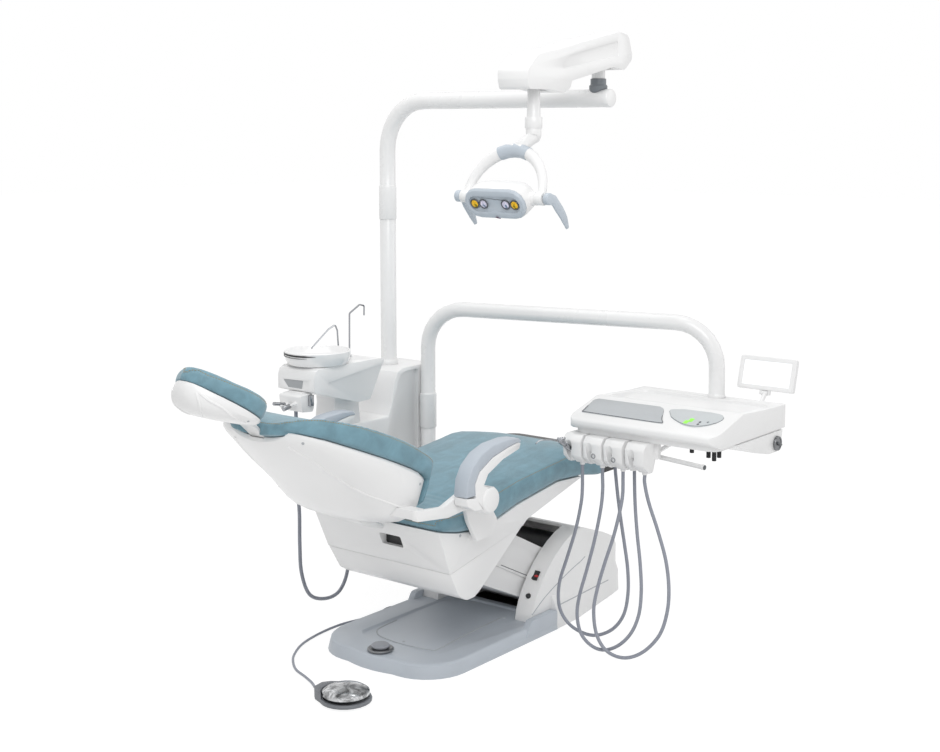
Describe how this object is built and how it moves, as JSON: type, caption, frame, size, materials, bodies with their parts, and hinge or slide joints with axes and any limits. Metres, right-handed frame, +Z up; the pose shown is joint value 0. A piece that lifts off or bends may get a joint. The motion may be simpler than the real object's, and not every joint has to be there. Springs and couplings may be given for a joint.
{
  "type": "dental unit",
  "caption": "Patient chair on a lift arm with a side column, rinse bowl, operating lamp on a pole, instrument tray on an arch arm and a foot control.",
  "frame": {"origin": "middle of the floor plate's underside, on the floor", "axes": "+X towards the patient's feet, +Y towards the patient's left, where the column stands, +Z up"},
  "size_m": [1.9468, 1.62, 2.0386],
  "materials": {
    "white_moulding": "smooth white stove enamel",
    "white_plastic": "smooth moulded white plastic",
    "floor_plate": "grey enamel, satin",
    "upholstery": "grey-blue leatherette with a fine grain, soft sheen",
    "grey_pad": "pale blue-grey moulded plastic, matt",
    "black_plastic": "black plastic, satin",
    "dark_rubber": "dark grey rubber, matt",
    "steel": "brushed stainless steel",
    "dark_steel": "dark grey enamel",
    "hose_grey": "grey silicone hose, satin",
    "switch_red": "red rocker, gloss",
    "bowl_glass": "pale glazed bowl, gloss",
    "label_grey": "bare grey film plate",
    "keypad": "grey membrane with green keys",
    "lamp_grey": "pale blue-grey moulded plastic",
    "lens": "clear and amber lenses",
    "screen": "lit white diffuser",
    "collar_grey": "grey enamel collar"
  },
  "bodies": {
    "armrest_left": {"armrest_left": "white_plastic", "armrest_pad_left": "grey_pad"},
    "armrest_right": {"armrest_pad_right": "grey_pad", "armrest_right": "white_plastic"},
    "backrest": {"backrest_cushion": "upholstery", "backrest_hinge_arms": "white_moulding", "backrest_shell": "white_plastic"},
    "base": {"base_housing": "white_moulding", "base_plate": "floor_plate", "foot_control_base": "grey_pad", "foot_cord": "hose_grey", "fuse_cap": "black_plastic"},
    "brake_dial": {"brake_dial": "collar_grey"},
    "seat": {"column": "white_plastic", "cup_filler": "steel", "cuspidor_arm": "white_plastic", "flush_tube": "steel", "foot_cover": "black_plastic", "light_pole_lower": "white_moulding", "seat_belly": "white_plastic", "seat_cushion": "upholstery", "seat_frame": "dark_steel", "seat_shell": "white_plastic", "suction_holder": "grey_pad", "suction_hose": "hose_grey", "unit_bracket": "white_moulding"},
    "tray": {"control_panel": "keypad", "hose_1": "hose_grey", "hose_2": "hose_grey", "hose_3": "hose_grey", "instrument_holders": "white_plastic", "label_plate": "label_grey", "syringe": "steel", "tray": "white_plastic", "tray_handle": "steel"},
    "delivery_arm": {"delivery_arm": "white_moulding"},
    "film_viewer": {"film_screen": "screen", "film_viewer": "white_plastic"},
    "foot_disc": {"foot_disc": "steel"},
    "headrest_bar": {"headrest_bar": "white_moulding"},
    "headrest": {"headrest_cushion": "upholstery", "headrest_shell": "white_plastic"},
    "joystick": {"joystick_knob": "grey_pad"},
    "joystick_ring": {"joystick_ring": "dark_rubber"},
    "lamp_arm": {"lamp_arm_cover": "white_plastic"},
    "lamp_head": {"lamp_bezel": "lamp_grey", "lamp_handle_left": "lamp_grey", "lamp_handle_right": "lamp_grey", "lamp_head": "lamp_grey", "lamp_lenses": "lens"},
    "lamp_post": {"lamp_post": "white_moulding"},
    "lamp_pole": {"lamp_saddle": "collar_grey", "light_pole_upper": "white_moulding"},
    "lamp_stub": {"lamp_stub": "white_moulding"},
    "lamp_yoke": {"lamp_yoke": "white_moulding"},
    "lift_arm": {"lift_arm_lower_cover": "white_plastic", "lift_arm_upper_cover": "white_plastic", "lift_guard": "dark_rubber"},
    "power_switch": {"power_switch": "switch_red"},
    "rinse_bowl": {"rinse_bowl": "bowl_glass"}
  },
  "joints": [
    {"name": "chair_lift", "type": "hinge", "parent": "base", "child": "lift_arm", "pos_m": [0.235, 0, 0.085], "axis": [0, 1, 0], "range_deg": [-1, 28]},
    {"name": "seat_level", "type": "hinge", "parent": "lift_arm", "child": "seat", "pos_m": [-0.264, 0, 0.339], "axis": [0, 1, 0], "range_deg": [-28, 1]},
    {"name": "backrest_recline", "type": "hinge", "parent": "seat", "child": "backrest", "pos_m": [-0.462, 0, 0.582], "axis": [0, 1, 0], "range_deg": [-12, 50]},
    {"name": "headrest_height", "type": "slide", "parent": "backrest", "child": "headrest_bar", "axis": [-0.9336, 0, 0.3584], "range_m": [0, 0.1]},
    {"name": "headrest_tilt", "type": "hinge", "parent": "headrest_bar", "child": "headrest", "pos_m": [-1.18664, 0, 0.91252], "axis": [0, 1, 0], "range_deg": [-8, 16]},
    {"name": "armrest_left_swing", "type": "hinge", "parent": "seat", "child": "armrest_left", "pos_m": [-0.462, 0.357, 0.582], "axis": [0, 1, 0], "range_deg": [0, 75]},
    {"name": "armrest_right_swing", "type": "hinge", "parent": "seat", "child": "armrest_right", "pos_m": [-0.462, -0.357, 0.582], "axis": [0, 1, 0], "range_deg": [0, 75]},
    {"name": "mains_switch_rock", "type": "hinge", "parent": "base", "child": "power_switch", "pos_m": [0.022, -0.208, 0.19], "axis": [0, 1, 0], "range_deg": [-6, 0]},
    {"name": "foot_ring_lean", "type": "hinge", "parent": "base", "child": "joystick_ring", "pos_m": [-0.553, -0.006, 0.045], "axis": [1, 0, 0], "range_deg": [-3.5, 3.5], "stiffness_Nm_per_rad": 6},
    {"name": "foot_knob_lean", "type": "hinge", "parent": "joystick_ring", "child": "joystick", "pos_m": [-0.553, -0.006, 0.0515], "axis": [0, 1, 0], "range_deg": [-5, 5], "stiffness_Nm_per_rad": 3},
    {"name": "foot_disc_press", "type": "slide", "parent": "base", "child": "foot_disc", "axis": [0, 0, -1], "range_m": [0, 0.006], "stiffness_N_per_m": 1800, "springref_m": -0.014},
    {"name": "lamp_pole_swivel", "type": "hinge", "parent": "seat", "child": "lamp_pole", "pos_m": [0.16, 0.585, 1.382], "axis": [0, 0, 1], "range_deg": [-45, 90]},
    {"name": "lamp_stub_swivel", "type": "hinge", "parent": "lamp_pole", "child": "lamp_stub", "pos_m": [0.16, -0.357, 1.8845], "axis": [0, 0, 1], "range_deg": [-60, 100]},
    {"name": "lamp_arm_tilt", "type": "hinge", "parent": "lamp_stub", "child": "lamp_arm", "pos_m": [0.16, -0.357, 1.955], "axis": [0, 1, 0], "range_deg": [-16, 12]},
    {"name": "lamp_post_level", "type": "hinge", "parent": "lamp_arm", "child": "lamp_post", "pos_m": [-0.206, -0.357, 1.9], "axis": [0, 1, 0], "range_deg": [-12, 16]},
    {"name": "lamp_yoke_swivel", "type": "hinge", "parent": "lamp_post", "child": "lamp_yoke", "pos_m": [-0.206, -0.357, 1.72], "axis": [0, 0, 1], "range_deg": [-120, 120]},
    {"name": "lamp_head_tilt", "type": "hinge", "parent": "lamp_yoke", "child": "lamp_head", "pos_m": [-0.35, -0.345, 1.508], "axis": [0, 1, 0], "range_deg": [-30, 30]},
    {"name": "delivery_arm_swivel", "type": "hinge", "parent": "seat", "child": "delivery_arm", "pos_m": [0.225, 0.445, 0.595], "axis": [0, 0, 1], "range_deg": [-2, 24]},
    {"name": "tray_swivel", "type": "hinge", "parent": "delivery_arm", "child": "tray", "pos_m": [0.462, -0.655, 0.8], "axis": [0, 0, 1], "range_deg": [-4, 10]},
    {"name": "film_viewer_tilt", "type": "hinge", "parent": "tray", "child": "film_viewer", "pos_m": [0.508, -0.815, 0.824], "axis": [0, 1, 0], "range_deg": [-10, 10]},
    {"name": "brake_dial_turn", "type": "hinge", "parent": "tray", "child": "brake_dial", "pos_m": [0.427, -0.905, 0.676], "axis": [0, 1, 0], "range_deg": [0, 90]},
    {"name": "bowl_swivel", "type": "hinge", "parent": "seat", "child": "rinse_bowl", "pos_m": [-0.295, 0.515, 0.8965], "axis": [0, 0, 1], "range_deg": [-60, 60]}
  ],
  "couplings": [
    {"joint": "seat_level", "follows": "chair_lift", "ratio": -1},
    {"joint": "lamp_post_level", "follows": "lamp_arm_tilt", "ratio": -1}
  ]
}
